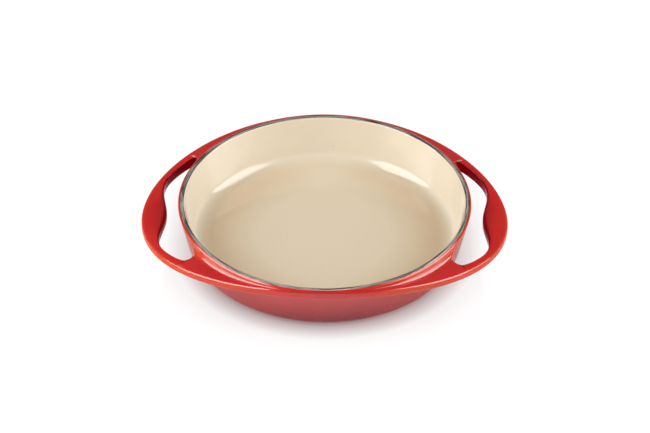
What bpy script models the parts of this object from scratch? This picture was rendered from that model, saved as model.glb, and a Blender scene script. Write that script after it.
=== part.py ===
"""Enamelled cast-iron tarte tatin dish with two loop handles.

One casting makes the round pan, the collar under its rim and both handle loops.
Glass enamel is fused to it in three coats: outside, inside and underneath.
The rim and the foot ring stay bare iron.
Lengths are metres. The dish stands on Z = 0 and its handles point along X.
Only one quarter is computed; the Mirror modifier completes it over X and Y.
"""
import math

import bmesh
import bpy
from mathutils import Vector
from mathutils.bvhtree import BVHTree

MM = 0.001

# Pan
PAN_HEIGHT = 49.0 * MM
RIM_RADIUS = 133.0 * MM
RIM_BAND_WIDTH = 3.4 * MM
RIM_CHAMFER = 0.3 * MM
LIP_WIDTH = 1.9 * MM
LIP_DROP = 1.6 * MM
INNER_LIP_WIDTH = 0.4 * MM
WALL_DRAFT = math.radians(12.4)
FLOOR_THICKNESS = 6.5 * MM
BASE_CORNER = 12.0 * MM
COVE_WIDTH = 18.0 * MM
COVE_HEIGHT = 9.0 * MM

# Foot ring
FOOT_INSET = 2.0 * MM
FOOT_WIDTH = 7.0 * MM
FOOT_HEIGHT = 0.9 * MM
FOOT_CHAMFER = 0.3 * MM

# Collar and handle loops
HANDLE_REACH = 34.5 * MM
COLLAR_REACH = 1.6 * MM
OUTLINE_POWER = 1.98
LOOP_THICKNESS = 7.0 * MM
LOOP_TOP_DROP = 0.7 * MM
LOOP_DROOP = 20.9 * MM
DROOP_POWER = 2.0
ARM_WIDTH = 6.8 * MM
ARM_DEPTH = 10.8 * MM
GRIP_WIDTH = 23.4 * MM
GRIP_LENGTH = 122.0 * MM
GRIP_DEPTH = 14.0 * MM
GRIP_DIP = 1.0 * MM
NOSE_DEPTH = 3.0 * MM
NOSE_POWER = 4.0
COLLAR_FILLET = 3.5 * MM
UNDER_FILLET = 1.5 * MM

# Finger holes
HOLE_END_ANGLE = math.radians(32.4)
HOLE_END_REACH = 7.6 * MM
HOLE_END_POWER = 5.0
HOLE_EDGE = 3.0 * MM
GRIP_EDGE = 4.5 * MM
WEB_START = 0.80
WEB_FULL = 0.97

# Largest shares of the room that a rounding may take
LIP_ROOM = 0.6
COLLAR_FILLET_RISE = 0.9
COLLAR_FILLET_ROOM = 0.5
NOSE_ROOM = 0.75
UNDER_FILLET_ROOM = 0.6
HOLE_EDGE_ROOM = 0.4

# Enamel
ENAMEL = 0.5 * MM
CLEARANCE = 0.3 * MM
COAT_INSET = 0.1 * MM
COAT_TO_RIM = 0.5 * MM

# Sizes that follow from those above
LIP_RADIUS = RIM_RADIUS + LIP_WIDTH
INNER_RIM_RADIUS = RIM_RADIUS - RIM_BAND_WIDTH
WELL_RADIUS = INNER_RIM_RADIUS - CLEARANCE - INNER_LIP_WIDTH
LENGTH = 2.0 * (LIP_RADIUS + HANDLE_REACH)
WIDTH = 2.0 * (LIP_RADIUS + COLLAR_REACH)
HOLE_END_RADIUS = LIP_RADIUS + HOLE_END_REACH
CORNER_HEIGHT = FOOT_HEIGHT + BASE_CORNER
WALL_FALL = PAN_HEIGHT - LIP_DROP - CORNER_HEIGHT
CORNER_RADIUS = LIP_RADIUS - math.tan(WALL_DRAFT) * WALL_FALL - BASE_CORNER / math.cos(WALL_DRAFT)
FOOT_OUTER = CORNER_RADIUS - FOOT_INSET
FOOT_INNER = FOOT_OUTER - FOOT_WIDTH

# Mesh steps
HOLE_STATIONS = 14
STATION_CROWDING = 2.1
COLLAR_STATIONS = 8
FILLET_STEPS = 4
EDGE_STEPS = 2
NOSE_STEPS = 4
CORNER_STEPS = 3
COVE_STEPS = 5
MERGE_DISTANCE = 0.01 * MM
SINK_TRIES = 6
SHARP_ANGLE = math.radians(40.0)

# Finishes
RED_ENAMEL = (0.56, 0.018, 0.020, 1.0)
SAND_ENAMEL = (0.78, 0.67, 0.47, 1.0)
BARE_IRON = (0.34, 0.31, 0.28, 1.0)
ENAMEL_ROUGHNESS = 0.12
IRON_ROUGHNESS = 0.6
IRON_METALLIC = 0.8


def smooth(x):
    """Ease from 0 to 1 as x goes from 0 to 1."""
    x = min(max(x, 0.0), 1.0)
    return x * x * (3.0 - 2.0 * x)


def polar(radius, angle, height):
    return Vector((radius * math.cos(angle), radius * math.sin(angle), height))


def wall_radius(z):
    """Outer radius of the tapered wall at a height."""
    return LIP_RADIUS - math.tan(WALL_DRAFT) * (PAN_HEIGHT - LIP_DROP - z)


def outline_radius(angle):
    """Distance from the centre to the outer edge of collar and handles."""
    along = (abs(math.cos(angle)) / (0.5 * LENGTH)) ** OUTLINE_POWER
    across = (abs(math.sin(angle)) / (0.5 * WIDTH)) ** OUTLINE_POWER
    return (along + across) ** (-1.0 / OUTLINE_POWER)


def grip_share(angle):
    """1 at the middle of the grip, 0 where the slim arms begin."""
    y = outline_radius(angle) * math.sin(angle)
    share = min(y / (0.5 * GRIP_LENGTH), 1.0)
    return math.cos(0.5 * math.pi * share) ** 2


def bar_width(angle):
    """Width of the handle bar: slim arms, wide grip."""
    return ARM_WIDTH + (GRIP_WIDTH - ARM_WIDTH) * grip_share(angle)


def loop_top(point):
    """Height of the loop's top face: it droops from the rim to the handle tips."""
    reach = abs(point.x) / (0.5 * LENGTH)
    return PAN_HEIGHT - LOOP_TOP_DROP - LOOP_DROOP * reach ** DROOP_POWER


class HoleStation:
    """Where the finger hole's two edges lie at one angle from the centre line."""

    def __init__(self, share):
        self.angle = share * HOLE_END_ANGLE
        self.share = share
        opening = max(1.0 - share ** HOLE_END_POWER, 0.0) ** (1.0 / HOLE_END_POWER)
        outer = outline_radius(self.angle) - bar_width(self.angle)
        inner = wall_radius(loop_top(polar(LIP_RADIUS, self.angle, 0.0)))
        self.far = HOLE_END_RADIUS + (outer - HOLE_END_RADIUS) * opening
        self.near = HOLE_END_RADIUS - (HOLE_END_RADIUS - inner) * opening
        self.far_edge = HOLE_EDGE + (GRIP_EDGE - HOLE_EDGE) * grip_share(self.angle)
        self.near_edge = min(HOLE_EDGE, HOLE_EDGE_ROOM * (self.near - inner))
        self.web = smooth((share - WEB_START) / (WEB_FULL - WEB_START))


class Section:
    """Heights and radii of the collar or handle at one angle."""

    def __init__(self, angle):
        self.angle = angle
        self.outline = outline_radius(angle)
        wide = self.outline - LIP_RADIUS
        foot = loop_top(polar(LIP_RADIUS, angle, 0.0))
        drop = PAN_HEIGHT - foot
        self.lip_drop = min(LIP_DROP, LIP_ROOM * drop)
        rise = COLLAR_FILLET_RISE * (drop - self.lip_drop) / (1.0 + math.sin(WALL_DRAFT))
        self.fillet = min(COLLAR_FILLET, rise, COLLAR_FILLET_ROOM * wide)
        self.nose = min(NOSE_DEPTH, NOSE_ROOM * (wide - self.fillet))
        self.root = polar(wall_radius(foot - LOOP_THICKNESS), angle, 0.0)
        ledge = self.outline - self.nose - self.root.length
        self.under = min(UNDER_FILLET, UNDER_FILLET_ROOM * ledge)
        self.grip = grip_share(angle)
        self.bar = bar_width(angle)
        self.depth = ARM_DEPTH + (GRIP_DEPTH - ARM_DEPTH) * self.grip

    def inward(self, point):
        """0 on the outline, 1 on the inner edge of the grip."""
        radius = math.hypot(point.x, point.y)
        return min(max((self.outline - radius) / self.bar, 0.0), 1.0)

    def top(self, point):
        """Top surface above a plan point, with the concave fillet up to the lip."""
        height = loop_top(point) - GRIP_DIP * self.grip * self.inward(point) ** 2
        centre = self.fillet_centre(point)
        reach = centre - math.hypot(point.x, point.y)
        if reach <= 0.0:
            return height
        reach = min(reach, self.fillet)
        return height + self.fillet - math.sqrt(self.fillet ** 2 - reach ** 2)

    def underside(self, point):
        """Height of the plain underside: the loop is thicker on its inner side."""
        extra = (self.depth - LOOP_THICKNESS) * smooth(self.inward(point))
        return loop_top(point) - LOOP_THICKNESS - extra

    def bottom(self, point):
        """Underside below a plan point, with the fillet down to the wall."""
        height = self.underside(point)
        centre = self.under_centre(point)
        reach = centre - math.hypot(point.x, point.y)
        if reach <= 0.0:
            return height
        reach = min(reach, self.under)
        return height - self.under + math.sqrt(self.under ** 2 - reach ** 2)

    def fillet_centre(self, point):
        height = loop_top(point) + self.fillet
        return wall_radius(height) + self.fillet / math.cos(WALL_DRAFT)

    def under_centre(self, point):
        height = self.underside(point) - self.under
        return wall_radius(height) + self.under / math.cos(WALL_DRAFT)

    def lip(self):
        """Rounded lip from the rim's edge to the top of the wall."""
        start = RIM_RADIUS + COAT_TO_RIM
        depth = self.lip_drop - COAT_INSET
        points = []
        for step in range(EDGE_STEPS + 1):
            turn = 0.5 * math.pi * step / EDGE_STEPS
            radius = start + (LIP_RADIUS - start) * math.sin(turn)
            height = PAN_HEIGHT - COAT_INSET - depth * (1.0 - math.cos(turn))
            points.append(polar(radius, self.angle, height))
        return points

    def wall_fillet(self, limit):
        """Concave fillet from wall to top face, cut short at a limit radius."""
        foot = polar(LIP_RADIUS, self.angle, 0.0)
        centre = self.fillet_centre(foot)
        middle = loop_top(foot) + self.fillet
        start = math.pi - WALL_DRAFT
        reach = min(max((centre - limit) / self.fillet, 0.0), math.cos(WALL_DRAFT))
        finish = math.pi + math.acos(reach)
        points = []
        for step in range(FILLET_STEPS):
            turn = start + (finish - start) * step / (FILLET_STEPS - 0.5)
            radius = centre + self.fillet * math.cos(turn)
            height = middle + self.fillet * math.sin(turn)
            points.append(polar(radius, self.angle, height))
        return points

    def under_fillet(self, limit):
        """Fillet from the underside back to the wall, from a limit radius inwards."""
        centre = self.under_centre(self.root)
        middle = self.underside(self.root) - self.under
        finish = math.pi - WALL_DRAFT
        reach = min(max((centre - limit) / self.under, 0.0), math.cos(WALL_DRAFT))
        start = math.pi - math.acos(reach)
        points = []
        for step in range(1, FILLET_STEPS + 1):
            turn = start + (finish - start) * (step - 0.5) / (FILLET_STEPS - 0.5)
            radius = centre + self.under * math.cos(turn)
            height = middle + self.under * math.sin(turn)
            points.append(polar(radius, self.angle, height))
        return points

    def rim_of_loop(self):
        """Blunt outer edge, from the top face round to the underside."""
        points = []
        for step in range(NOSE_STEPS + 1):
            turn = math.pi * step / NOSE_STEPS
            out = max(math.sin(turn), 0.0) ** (2.0 / NOSE_POWER)
            rise = math.copysign(abs(math.cos(turn)) ** (2.0 / NOSE_POWER), math.cos(turn))
            spot = polar(self.outline - self.nose * (1.0 - out), self.angle, 0.0)
            high, low = self.top(spot), self.bottom(spot)
            spot.z = 0.5 * (high + low) + 0.5 * (high - low) * rise
            points.append(spot)
        return points

    def plain_wall(self, count):
        """Points down the bare wall between lip and underside, for an open hole."""
        high = PAN_HEIGHT - self.lip_drop
        low = self.underside(self.root) - self.under
        points = []
        for step in range(1, count + 1):
            height = high + (low - high) * step / count
            points.append(polar(wall_radius(height), self.angle, height))
        return points

    def base(self):
        """Rounded base corner, then the flat underside in to the foot ring."""
        points = []
        for step in range(CORNER_STEPS + 1):
            turn = WALL_DRAFT + (0.5 * math.pi - WALL_DRAFT) * step / CORNER_STEPS
            radius = CORNER_RADIUS + BASE_CORNER * math.cos(turn)
            height = CORNER_HEIGHT - BASE_CORNER * math.sin(turn)
            points.append(polar(radius, self.angle, height))
        points.append(polar(FOOT_OUTER + CLEARANCE, self.angle, FOOT_HEIGHT))
        return points


def hole_face(section, edge, inward, radius):
    """Side of the finger hole, top to bottom, with both of its edges rounded."""
    points = []
    for step in range(EDGE_STEPS + 1):
        turn = 0.5 * math.pi * step / EDGE_STEPS
        spot = edge + inward * radius * (1.0 - math.sin(turn))
        spot.z = section.top(spot) - radius * (1.0 - math.cos(turn))
        points.append(spot)
    for step in range(EDGE_STEPS, -1, -1):
        turn = 0.5 * math.pi * step / EDGE_STEPS
        spot = edge + inward * radius * (1.0 - math.sin(turn))
        spot.z = section.bottom(spot) + radius * (1.0 - math.cos(turn))
        points.append(spot)
    return points


def edge_normals(points, end, sign):
    """Plan normals of one hole edge; it meets the centre line and the hole's end square."""
    normals = []
    mirrored = Vector((points[1].x, -points[1].y, 0.0))
    for index, point in enumerate(points):
        before = points[index - 1] if index else mirrored
        after = points[index + 1] if index + 1 < len(points) else end
        along = (after - before).normalized()
        normals.append(Vector((along.y, -along.x, 0.0)) * sign)
    return normals


def blend(first, second, share):
    return [a.lerp(b, share) for a, b in zip(first, second)]


class Shell:
    """Quarter of the outer surface as points, normals and four-sided faces."""

    def __init__(self):
        self.points = []
        self.faces = []
        self.top = []
        self.bottom = []
        self.build()
        self.normals = self.point_normals()

    def add(self, points):
        start = len(self.points)
        self.points.extend(points)
        return list(range(start, len(self.points)))

    def strip(self, first, second, closed=False):
        """Faces between two columns of points."""
        count = len(first)
        for index in range(count if closed else count - 1):
            after = (index + 1) % count
            self.faces.append((first[index], first[after], second[after], second[index]))

    def build(self):
        stations = [HoleStation(share) for share in hole_shares()]
        walls, bars = self.hole_columns(stations)
        last = self.closing_columns(walls, bars)
        for first, second in zip(walls, walls[1:]):
            self.strip(first, second)
        for first, second in zip(bars, bars[1:]):
            self.strip(first, second, closed=True)
        for step in range(1, COLLAR_STATIONS + 1):
            angle = HOLE_END_ANGLE + (0.5 * math.pi - HOLE_END_ANGLE) * step / COLLAR_STATIONS
            column = self.add(collar_column(Section(angle)))
            self.strip(last, column)
            self.top.append(column[0])
            self.bottom.append(column[-1])
            last = column

    def hole_columns(self, stations):
        """Wall column and handle-bar ring at each angle where the hole is open."""
        end = polar(HOLE_END_RADIUS, HOLE_END_ANGLE, 0.0)
        near = [polar(s.near, s.angle, 0.0) for s in stations]
        far = [polar(s.far, s.angle, 0.0) for s in stations]
        near_normals = edge_normals(near, end, -1.0)
        far_normals = edge_normals(far, end, 1.0)
        walls, bars = [], []
        for index, station in enumerate(stations):
            section = Section(station.angle)
            face = hole_face(section, near[index], near_normals[index], station.near_edge)
            limit = math.hypot(face[0].x, face[0].y)
            web = section.wall_fillet(limit) + face
            web += section.under_fillet(math.hypot(face[-1].x, face[-1].y))
            middle = blend(section.plain_wall(len(web)), web, station.web)
            walls.append(self.add(section.lip() + middle + section.base()))
            face = hole_face(section, far[index], far_normals[index], station.far_edge)
            bars.append(self.add(section.rim_of_loop() + face[::-1]))
            self.top.append(walls[-1][0])
            self.bottom.append(walls[-1][-1])
        return walls, bars

    def closing_columns(self, walls, bars):
        """Last station, where the wall side and the bar side of the hole meet."""
        section = Section(HOLE_END_ANGLE)
        end = polar(HOLE_END_RADIUS, HOLE_END_ANGLE, 0.0)
        inward = Vector((-math.sin(HOLE_END_ANGLE), math.cos(HOLE_END_ANGLE), 0.0))
        face = self.add(hole_face(section, end, inward, HOLE_EDGE))
        head = self.add(section.lip() + section.wall_fillet(HOLE_END_RADIUS))
        nose = self.add(section.rim_of_loop())
        tail = self.add(section.under_fillet(HOLE_END_RADIUS) + section.base())
        walls.append(head + face + tail)
        bars.append(nose + face[::-1])
        self.top.append(head[0])
        self.bottom.append(tail[-1])
        return head + [face[0]] + nose + [face[-1]] + tail

    def sunk(self, depth):
        """The points sunk by a depth, and pushed further in where a sharp edge would let them out."""
        surface = BVHTree.FromPolygons(self.points, self.faces)
        sunk = []
        for point, normal in zip(self.points, self.normals):
            spot = point - normal * depth
            for _ in range(SINK_TRIES):
                near, outward, _, distance = surface.find_nearest(spot)
                if (spot - near).dot(outward) < 0.0 and distance > 0.85 * depth:
                    break
                spot = near - outward * depth
            spot.x = 0.0 if abs(point.x) < MERGE_DISTANCE else spot.x
            spot.y = 0.0 if abs(point.y) < MERGE_DISTANCE else spot.y
            sunk.append(spot)
        return sunk

    def point_normals(self):
        """Vertex normals, kept inside the two mirror planes where a point lies on one."""
        sums = [Vector() for _ in self.points]
        for face in self.faces:
            corners = [self.points[index] for index in face]
            normal = (corners[2] - corners[0]).cross(corners[3] - corners[1])
            for index in face:
                sums[index] += normal.normalized()
        for point, total in zip(self.points, sums):
            if abs(point.y) < MERGE_DISTANCE:
                total.y = 0.0
            if abs(point.x) < MERGE_DISTANCE:
                total.x = 0.0
        return [total.normalized() for total in sums]


def hole_shares():
    """Shares of the hole's end angle, closer together near the end."""
    shares = []
    for step in range(HOLE_STATIONS):
        shares.append(1.0 - (1.0 - step / HOLE_STATIONS) ** STATION_CROWDING)
    return shares


def station_angles():
    """Every angle of the quarter at which the mesh has a column."""
    angles = [share * HOLE_END_ANGLE for share in hole_shares()]
    for step in range(COLLAR_STATIONS + 1):
        angles.append(HOLE_END_ANGLE + (0.5 * math.pi - HOLE_END_ANGLE) * step / COLLAR_STATIONS)
    return angles


def collar_column(section):
    """Points from the rim's edge round the solid collar and down to the foot."""
    nose = section.rim_of_loop()
    limit = section.outline - section.nose
    fillet = section.wall_fillet(limit)
    under = section.under_fillet(limit)
    upper = 0.5 * (math.hypot(fillet[-1].x, fillet[-1].y) + limit)
    lower = 0.5 * (math.hypot(under[0].x, under[0].y) + limit)
    above = polar(upper, section.angle, 0.0)
    above.z = section.top(above)
    below = polar(lower, section.angle, 0.0)
    below.z = section.bottom(below)
    return section.lip() + fillet + [above] + nose + [below] + under + section.base()


def pot_profile(depth):
    """Inside of the pan from below the rim to the floor, sunk by a depth into it.

    An oval cove joins the wall to the floor.
    """
    slope = math.tan(WALL_DRAFT)
    wide = COVE_WIDTH + depth
    tall = COVE_HEIGHT + depth
    middle = FLOOR_THICKNESS - depth + tall
    start = math.atan(slope * tall / wide)
    top = PAN_HEIGHT - LIP_DROP
    high = WELL_RADIUS + depth / math.cos(WALL_DRAFT)
    centre = high - slope * (top - middle + tall * math.sin(start)) - wide * math.cos(start)
    points = [(high, top)]
    for step in range(COVE_STEPS + 1):
        turn = start + (0.5 * math.pi - start) * step / COVE_STEPS
        points.append((centre + wide * math.cos(turn), middle - tall * math.sin(turn)))
    return points


class Quarter:
    """Mesh of one quarter, turned into a closed piece by two mirrors."""

    def __init__(self, name):
        self.name = name
        self.mesh = bmesh.new()

    def add_shell(self, shell, depth, flip=False):
        """The outer surface sunk by a depth; returns its top and bottom rows."""
        points = shell.sunk(depth) if depth else shell.points
        verts = [self.mesh.verts.new(point) for point in points]
        for face in shell.faces:
            corners = [verts[index] for index in face]
            self.mesh.faces.new(corners[::-1] if flip else corners)
        return [verts[i] for i in shell.top], [verts[i] for i in shell.bottom]

    def row(self, radius, height):
        return [self.mesh.verts.new(polar(radius, angle, height)) for angle in station_angles()]

    def join(self, first, second):
        for index in range(len(first) - 1):
            corners = (first[index], second[index], second[index + 1], first[index + 1])
            self.mesh.faces.new(corners)

    def join_rows(self, rows):
        for first, second in zip(rows, rows[1:]):
            self.join(first, second)

    def cap(self, row, height):
        """Close a row to the middle of the dish."""
        centre = self.mesh.verts.new((0.0, 0.0, height))
        for index in range(len(row) - 1):
            self.mesh.faces.new((row[index], centre, row[index + 1]))

    def finish(self, material):
        bmesh.ops.recalc_face_normals(self.mesh, faces=self.mesh.faces)
        data = bpy.data.meshes.new(self.name)
        self.mesh.to_mesh(data)
        self.mesh.free()
        data.shade_smooth()
        data.set_sharp_from_angle(angle=SHARP_ANGLE)
        data.materials.append(material)
        piece = bpy.data.objects.new(self.name, data)
        bpy.context.collection.objects.link(piece)
        mirror = piece.modifiers.new("Four quarters", "MIRROR")
        mirror.use_axis = (True, True, False)
        mirror.merge_threshold = MERGE_DISTANCE
        return piece


def finish_material(name, colour, roughness, metallic=0.0):
    material = bpy.data.materials.new(name)
    material.use_nodes = True
    shader = material.node_tree.nodes["Principled BSDF"]
    shader.inputs["Base Color"].default_value = colour
    shader.inputs["Roughness"].default_value = roughness
    shader.inputs["Metallic"].default_value = metallic
    return material


def make_casting(shell, material):
    """Iron body: pan, collar, both loops, bare rim band and foot ring."""
    quarter = Quarter("iron_casting")
    top, bottom = quarter.add_shell(shell, ENAMEL + CLEARANCE)
    rows = [top]
    rows.append(quarter.row(RIM_RADIUS, PAN_HEIGHT - RIM_CHAMFER))
    rows.append(quarter.row(RIM_RADIUS - RIM_CHAMFER, PAN_HEIGHT))
    rows.append(quarter.row(INNER_RIM_RADIUS + RIM_CHAMFER, PAN_HEIGHT))
    rows.append(quarter.row(INNER_RIM_RADIUS, PAN_HEIGHT - RIM_CHAMFER))
    profile = pot_profile(ENAMEL + CLEARANCE)
    rows.extend(quarter.row(radius, height) for radius, height in profile)
    quarter.join_rows(rows)
    quarter.cap(rows[-1], profile[-1][1])
    ceiling = FOOT_HEIGHT + ENAMEL + CLEARANCE
    rows = [bottom]
    rows.append(quarter.row(FOOT_OUTER, ceiling))
    rows.append(quarter.row(FOOT_OUTER, FOOT_CHAMFER))
    rows.append(quarter.row(FOOT_OUTER - FOOT_CHAMFER, 0.0))
    rows.append(quarter.row(FOOT_INNER + FOOT_CHAMFER, 0.0))
    rows.append(quarter.row(FOOT_INNER, FOOT_CHAMFER))
    rows.append(quarter.row(FOOT_INNER, ceiling))
    quarter.join_rows(rows)
    quarter.cap(rows[-1], ceiling)
    return quarter.finish(material)


def make_exterior_enamel(shell, material):
    """Coat over the outer wall, the collar and both loops, from rim to foot."""
    quarter = Quarter("exterior_enamel")
    top, bottom = quarter.add_shell(shell, 0.0)
    back_top, back_bottom = quarter.add_shell(shell, ENAMEL, flip=True)
    quarter.join(top, back_top)
    quarter.join(bottom, back_bottom)
    return quarter.finish(material)


def make_interior_enamel(material):
    """Coat inside the pan, with a rounded top edge just below the rim band."""
    quarter = Quarter("interior_enamel")
    face = pot_profile(0.0)
    back = pot_profile(ENAMEL)
    edge = INNER_RIM_RADIUS - CLEARANCE
    middle = 0.5 * (edge + face[0][0])
    rows = [quarter.row(radius, height) for radius, height in reversed(face)]
    rows.append(quarter.row(middle, PAN_HEIGHT - COAT_INSET - 0.5 * ENAMEL))
    rows.append(quarter.row(edge, PAN_HEIGHT - COAT_INSET - ENAMEL))
    rows.extend(quarter.row(radius, height) for radius, height in back)
    quarter.join_rows(rows)
    quarter.cap(rows[0], face[-1][1])
    quarter.cap(rows[-1], back[-1][1])
    return quarter.finish(material)


def make_underside_enamel(material):
    """Coat on the recessed underside, inside the foot ring."""
    quarter = Quarter("underside_enamel")
    radius = FOOT_INNER - CLEARANCE
    lower = quarter.row(radius, FOOT_HEIGHT)
    upper = quarter.row(radius, FOOT_HEIGHT + ENAMEL)
    quarter.join(lower, upper)
    quarter.cap(lower, FOOT_HEIGHT)
    quarter.cap(upper, FOOT_HEIGHT + ENAMEL)
    return quarter.finish(material)


def main():
    for item in list(bpy.data.objects):
        bpy.data.objects.remove(item)
    shell = Shell()
    iron = finish_material("bare_cast_iron", BARE_IRON, IRON_ROUGHNESS, IRON_METALLIC)
    red = finish_material("red_enamel", RED_ENAMEL, ENAMEL_ROUGHNESS)
    sand = finish_material("sand_enamel", SAND_ENAMEL, ENAMEL_ROUGHNESS)
    make_casting(shell, iron)
    make_exterior_enamel(shell, red)
    make_interior_enamel(sand)
    make_underside_enamel(red)


main()
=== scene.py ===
"""Looks of an enamelled cast-iron tarte tatin dish, built round its CAD frame.

Each coat of enamel and the bare iron is a fine mesh worked out from the same formulas as its CAD node.
Lengths are metres. The dish stands on Z = 0 and its handles point along X.
"""
import math
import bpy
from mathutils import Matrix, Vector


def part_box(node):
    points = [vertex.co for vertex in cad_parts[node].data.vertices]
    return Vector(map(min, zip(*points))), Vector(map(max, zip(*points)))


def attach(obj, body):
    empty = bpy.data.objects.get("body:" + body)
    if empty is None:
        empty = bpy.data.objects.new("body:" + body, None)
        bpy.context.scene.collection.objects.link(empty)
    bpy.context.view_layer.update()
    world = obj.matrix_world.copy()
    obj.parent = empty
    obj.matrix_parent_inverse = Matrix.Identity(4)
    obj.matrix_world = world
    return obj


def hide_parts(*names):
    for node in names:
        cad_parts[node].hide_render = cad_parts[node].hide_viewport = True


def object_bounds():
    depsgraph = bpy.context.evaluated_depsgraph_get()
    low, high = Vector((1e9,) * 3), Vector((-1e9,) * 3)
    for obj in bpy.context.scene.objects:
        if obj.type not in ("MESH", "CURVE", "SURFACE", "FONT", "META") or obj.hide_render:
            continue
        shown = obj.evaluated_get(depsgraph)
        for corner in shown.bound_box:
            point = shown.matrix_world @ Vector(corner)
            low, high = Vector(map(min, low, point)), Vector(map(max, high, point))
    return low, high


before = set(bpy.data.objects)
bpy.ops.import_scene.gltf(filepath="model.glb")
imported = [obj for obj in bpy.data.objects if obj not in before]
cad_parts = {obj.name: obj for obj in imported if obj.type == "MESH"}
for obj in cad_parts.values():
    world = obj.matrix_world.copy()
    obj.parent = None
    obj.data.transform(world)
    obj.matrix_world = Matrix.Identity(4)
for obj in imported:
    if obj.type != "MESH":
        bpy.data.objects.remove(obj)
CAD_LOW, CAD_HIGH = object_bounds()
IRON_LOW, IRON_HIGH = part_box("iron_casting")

from types import SimpleNamespace

import bmesh
import bpy
from bpy.props import FloatProperty, FloatVectorProperty, PointerProperty
from mathutils import Matrix, Vector
from mathutils.bvhtree import BVHTree

bl_info = {
    "name": "Tarte tatin dish",
    "version": (1, 0, 0),
    "blender": (4, 5, 0),
    "location": "3D View > Sidebar > Tatin dish",
    "description": "Builds an enamelled cast-iron tarte tatin dish and its studio",
    "category": "Object",
}

MM = 0.001
QUARTER = 0.5 * math.pi

# How finely the enamel's surface is divided
ENAMEL_STEPS = SimpleNamespace(hole=44, collar=26, fillet=10, top=5, edge=6, nose=14, corner=8, well=20)
# How finely the iron under the enamel is divided
IRON_STEPS = SimpleNamespace(hole=44, collar=26, fillet=5, top=2, edge=3, nose=6, corner=4, well=8)
COAT_STEPS = 64
RIM_ROUND_STEPS = 4
LIP_ROUND_STEPS = 6
OUTLINE_SAMPLES = 4000
SINK_TRIES = 6
SHARP_ANGLE = math.radians(50.0)
MERGE_DISTANCE = 0.01 * MM

# Shares of the room beside it that a rounding takes at most
ROOM = SimpleNamespace(lip=0.6, rise=0.9, fillet=0.5, nose=0.75, under=0.6, gap_edge=0.7)
# Share of the finger gap's half length where its edges begin to sharpen
SHARPER_FROM = 0.70
# How much the gap's columns crowd towards its end: weight of the end's width, and power of the spacing
END_WEIGHT = 2.5
END_POWER = 3
# A sunk point nearer to the surface than this share of its depth is pushed further in
SINK_SHARE = 0.85
# Depth of the iron's edge beside the rim band, in roundings
RIM_DEPTH = 3.0

# Sockets of a Mix node that mixes colours
MIX_FACTOR, MIX_FIRST, MIX_SECOND, MIX_RESULT = 0, 6, 7, 2
WHITE = (1.0, 1.0, 1.0, 1.0)

# Fired glaze. A noise has its scale per metre, its detail and its roughness.
# A range has where its mask is 0 and where it is 1, and a dull range also the roughness added at both.
GLAZE = SimpleNamespace(
    wave_noise=(42.0, 1.0), peel_noise=(620.0, 2.0), fine_noise=(2600.0, 1.0), rare_noise=(75.0, 0.0),
    cloud_noise=(17.0, 3.0, 0.55), dull_noise=(55.0, 4.0), hole_scale=210.0,
    wave_height=0.5, peel_height=0.045, fine_height=0.010, hole_depth=0.10, relief=0.12 * MM,
    rare_range=(0.70, 0.74), hole_range=(0.10, 0.04), cloud_range=(0.38, 0.66), thin_range=(0.51, 0.60),
    dull_range=(0.3, 0.7, -0.012, 0.018), hole_shade=0.35,
)
# Ground iron, in the same terms. Its scratches run round the ring, because their noise is denser across it.
GROUND = SimpleNamespace(
    denser=26.0, scratch_noise=(30.0, 3.0, 0.55), grain_noise=(900.0, 3.0, 0.6), pit_noise=(420.0, 3.0, 0.6),
    grain_height=0.8, pit_depth=1.5, relief=0.06 * MM, relief_share=0.6,
    scratch_range=(0.40, 0.60), pit_range=(0.60, 0.72), dull_range=(0.3, 0.7, -0.08, 0.14),
    light_shade=1.6, dull_shade=0.15,
)
# Each mask of the red enamel: what it measures, where it is 0 and where it is 1
RED_MASKS = {
    "beside": ("Along", 0.82, 0.86),
    "off_middle": ("Along", 0.15, 0.60),
    "off_handles": ("Along", 0.85, 0.30),
    "at_grip": ("Along", 0.86, 0.94),
    "on_loops": ("Over loops", -0.0105, -0.0080),
    "under_loops": ("Over loops", -0.0070, -0.0100),
    "low": ("Height", 0.042, -0.014),
    "foot": ("Height", 0.0060, 0.0040),
    "inner_edge": ("From outline", 0.10, 0.28),
    "outward": ("Outward", 0.15, 0.75),
    "not_outward": ("Outward", 0.6, 0.3),
    "not_up": ("Upward", 0.25, -0.15),
    "inward": ("Outward", 0.0, -0.30),
    "far_inward": ("Outward", -0.05, -0.45),
    "sideways": ("Sideways", 0.24, 0.46),
}
# Each mask of the sand enamel, in the same terms
SAND_MASKS = {
    "floor": ("Height", 0.0120, 0.0068),
    "rising": ("Radius", 0.062, 0.099),
    "falling": ("Radius", 0.118, 0.105),
    "off_middle": ("Along", 0.10, 0.70),
}
# How far red enamel draws off its edges, and what is left of its clear coat where each mask is 1
RED_EDGE = 0.3
COAT = SimpleNamespace(inner=0.03, steep=0.36, beside=0.45, roughness=0.08, ior=1.58)

# Floor near the dish, and at its sides under the handles, where it keeps less of the painted shadow.
# The painted shadow, darker where the floor is less open to the air, has a close reach and a wide one, which
# is given in close ones.
FLOOR = SimpleNamespace(
    size=6.0, samples=12, beside=(0.090, 0.150), side_mirror=1.3, side_shade=0.93, side_glow=1.04,
    near_reflection_shadow=0.50, near_painted_shadow=(0.52, 0.43, 0.43, 1.0), wide_reach=3.8, wide_start=0.35, wide_shade=0.78,
    soaked=(0.12, 0.12, 0.12, 1.0), side_soaked=(0.06, 0.06, 0.06, 1.0),
)
# Share of the way up to the zenith from which the studio is all ceiling
CEILING_START = 0.55
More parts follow.
